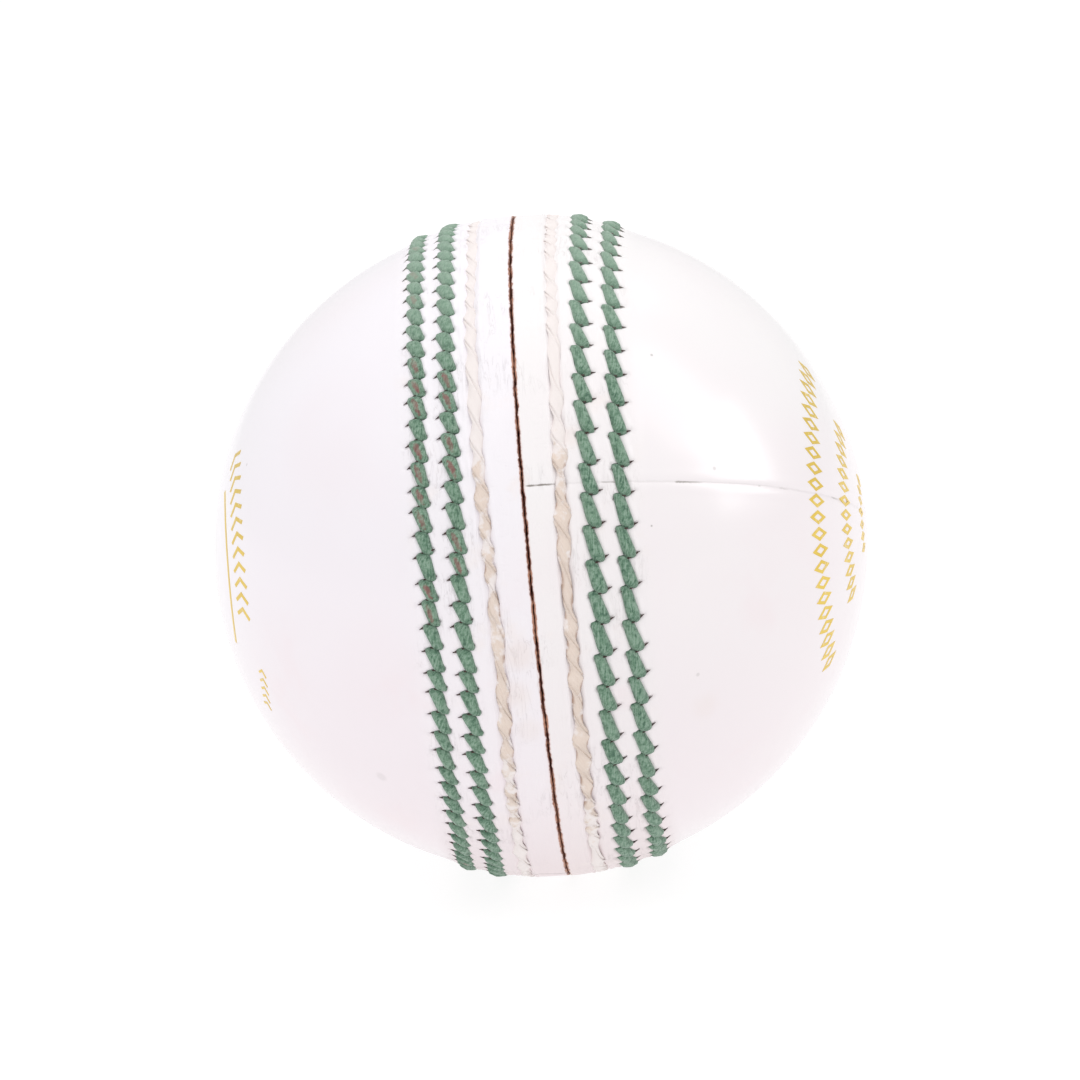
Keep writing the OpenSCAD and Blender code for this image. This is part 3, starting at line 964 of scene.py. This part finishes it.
def cutCork(name, low, high, grains):
    paint = Paint(name, Roughness=0.85, Specular_IOR_Level=0.25)
    spot = paint.objectSpot()
    warped = paint.noise(spot, 500.0, 2.0) * 0.0008
    cells = paint.cells(spot, grains)
    specksDark = paint.noise(spot, grains * 2.0, 3.0, 0.7).rise(0.60, 0.72)
    colour = paint.mix(cells + warped, low, high)
    colour = paint.mix(specksDark * 0.8, colour, tuple(c * 0.35 for c in low))
    paint.finish(Base_Color=colour, Normal=paint.relief(cells - specksDark, 0.0002, 0.7))
    return paint.material


def woundYarn(name, low, high, strands):
    paint = Paint(name, Roughness=0.9, Sheen_Weight=0.3, Specular_IOR_Level=0.2)
    spot = paint.objectSpot()
    drift = paint.noise(spot, 60.0, 2.0) * 0.004
    strandsA = ((paint.along(spot, (0.5, 0.3, 0.81)) + drift) * strands).sine()
    strandsB = ((paint.along(spot, (-0.62, 0.75, 0.2)) + drift) * strands).sine()
    over = paint.noise(spot, 110.0, 1.0).rise(0.49, 0.51)
    height = strandsA * over + strandsB * (1 - over)
    fuzz = paint.noise(spot, 2600.0, 3.0, 0.7)
    colour = paint.mix((height * 0.5 + 0.5) * 0.7 + fuzz * 0.3, low, high)
    paint.finish(Base_Color=colour, Normal=paint.relief(height + fuzz * 0.5, 0.0003, 0.9))
    return paint.material


def wovenTape(name, low, high):
    paint = Paint(name, Roughness=0.85, Specular_IOR_Level=0.2)
    spot = paint.objectSpot()
    x, y, z = paint.axes(spot)
    weave = (x * 9000.0).sine() * ((y + z) * 9000.0).sine()
    fuzz = paint.noise(spot, 1500.0, 3.0)
    colour = paint.mix(weave * 0.3 + fuzz * 0.5 + 0.1, low, high)
    paint.finish(Base_Color=colour, Normal=paint.relief(weave, 0.00008, 0.8))
    return paint.material


leatherLeft = lacqueredLeather("lacqueredLeatherLeft", -1)
leatherRight = lacqueredLeather("lacqueredLeatherRight", 1)
dyedThread("greenThread")
slitShadowSliver("slitShadowSliver")
closingLinen("closingLinen")
gilt = giltFilm("giltFilm")
nodeLooks = {
    "cork_rubber_centre": cutCork("mouldedCork", (0.16, 0.09, 0.05), (0.40, 0.24, 0.13), 900.0),
    "cork_wrap": cutCork("sheetCork", (0.36, 0.22, 0.12), (0.62, 0.42, 0.25), 620.0),
    "yarn_winding": woundYarn("worstedYarn", (0.45, 0.36, 0.25), (0.80, 0.71, 0.56), 5200.0),
    "seam_packing": wovenTape("packingCloth", (0.45, 0.36, 0.24), (0.72, 0.62, 0.47)),
    "quarter_tape": wovenTape("seamTape", (0.55, 0.47, 0.34), (0.78, 0.70, 0.56)),
    "quarter_stitches": woundYarn("hiddenLinen", (0.50, 0.40, 0.28), (0.80, 0.70, 0.55), 14000.0),
}
print("materials made")

# build

master = coverMaster()
quarters = {
    "leather_quarter_left_front": (-1, ball["seamTurn"][-1], leatherLeft),
    "leather_quarter_left_back": (-1, ball["seamTurn"][-1] - math.pi, leatherLeft),
    "leather_quarter_right_upper": (1, ball["seamTurn"][1], leatherRight),
    "leather_quarter_right_lower": (1, ball["seamTurn"][1] - math.pi, leatherRight),
}
for node, (side, start, material) in quarters.items():
    quarter = leatherQuarter(node + "_skin", side, start, master)
    quarter.data.materials.append(material)
    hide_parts(node)
bpy.data.objects.remove(master)
print("leather cover made")

for rowName, row in rows.items():
    master = stitchMaster(row["pitch"], row["slant"], row["fat"])
    stitches = stitchRow(rowName + "_thread", row, master)
    bpy.data.objects.remove(master)
    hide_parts(rowName)
print("coloured rows made")

cord = closingCord()
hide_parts("closing_thread")
print("closing cord made")

for node, border in borders.items():
    foilPiece = giltBorder(node + "_border", border)
    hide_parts(node)
print("gilt borders made")

for node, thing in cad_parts.items():
    for start, material in nodeLooks.items():
        if node.startswith(start):
            thing.data.materials.clear()
            thing.data.materials.append(material)
    if node.startswith("gilt"):
        thing.data.materials.clear()
        thing.data.materials.append(gilt)
print("inner pieces dressed")

# floor, light and camera

studio = {
    "rise": 12.0,        # camera's height above the ball, degrees
    "turn": 2.71,        # to the right of the front
    "roll": 4.98,
    "away": 18.87,       # in ball radii
    "lens": 205.4,
    "shiftX": -0.0009,
    "shiftY": 0.0051,
    "floorGlow": 0.85,
    "skyGlow": 0.84,
}


def addCamera():
    rise, turn, roll = (math.radians(studio[key]) for key in ("rise", "turn", "roll"))
    back = Vector((math.sin(turn) * math.cos(rise), -math.cos(turn) * math.cos(rise), math.sin(rise)))
    level = Vector((math.cos(turn), math.sin(turn), 0))
    up = (back.cross(level) * math.cos(roll) + level * math.sin(roll)).normalized()
    lens = bpy.data.cameras.new("camera")
    lens.lens = studio["lens"]
    lens.sensor_width = 36
    lens.clip_start = 0.01
    lens.clip_end = 20
    lens.shift_x = studio["shiftX"]
    lens.shift_y = studio["shiftY"]
    camera = bpy.data.objects.new("camera", lens)
    place = Matrix((up.cross(back), up, back)).transposed().to_4x4()
    place.translation = back * studio["away"] * ball["domeR"]
    camera.matrix_world = place
    bpy.context.scene.collection.objects.link(camera)
    bpy.context.scene.camera = camera


def addFloor():
    clearSelection()
    bpy.ops.mesh.primitive_plane_add(size=8, location=(0, 0, cadBox[0][2]))
    floor = bpy.context.object
    floor.name = "floor"
    paint = Paint("paleFloor", Roughness=0.9, Base_Color=(0.2, 0.2, 0.2, 1), Specular_IOR_Level=0.0)
    paint.shader.inputs["Emission Color"].default_value = (1, 1, 1, 1)
    paint.shader.inputs["Emission Strength"].default_value = studio["floorGlow"]
    floor.data.materials.append(paint.material)


lights = {   # place in metres, watts, size, colour
    "keyLight": ((-0.40, -0.50, 0.90), 1.7, (0.5, 0.5), (1.0, 0.99, 0.98)),
    "topLight": ((0.05, 0.35, 1.05), 2.4, (0.9, 0.8), (0.99, 0.995, 1.0)),
    "sideLight": ((0.70, -0.15, 0.72), 1.0, (0.5, 0.5), (1.0, 0.995, 0.99)),
    "windowGlint": ((0.925, -0.095, 0.365), 1.6, (0.50, 0.42), (1, 1, 1)),
}


def addLight(name, place, power, size, colour):
    data = bpy.data.lights.new(name, "AREA")
    data.energy = power
    data.color = colour
    data.shape = "RECTANGLE"
    data.size, data.size_y = size
    lamp = bpy.data.objects.new(name, data)
    lamp.location = place
    lamp.rotation_euler = Vector(place).to_track_quat("Z", "Y").to_euler()
    bpy.context.scene.collection.objects.link(lamp)
    return lamp


addCamera()
addFloor()
lamps = {name: addLight(name, *light) for name, light in lights.items()}
lamps["windowGlint"].visible_diffuse = False   # it only shows as a glint in the lacquer
world = bpy.data.worlds.new("studio")
world.use_nodes = True
world.node_tree.nodes["Background"].inputs["Color"].default_value = (1, 1, 1, 1)
world.node_tree.nodes["Background"].inputs["Strength"].default_value = studio["skyGlow"]
scene = bpy.context.scene
scene.world = world
scene.view_settings.view_transform = "Standard"
scene.view_settings.look = "None"
print("studio set")
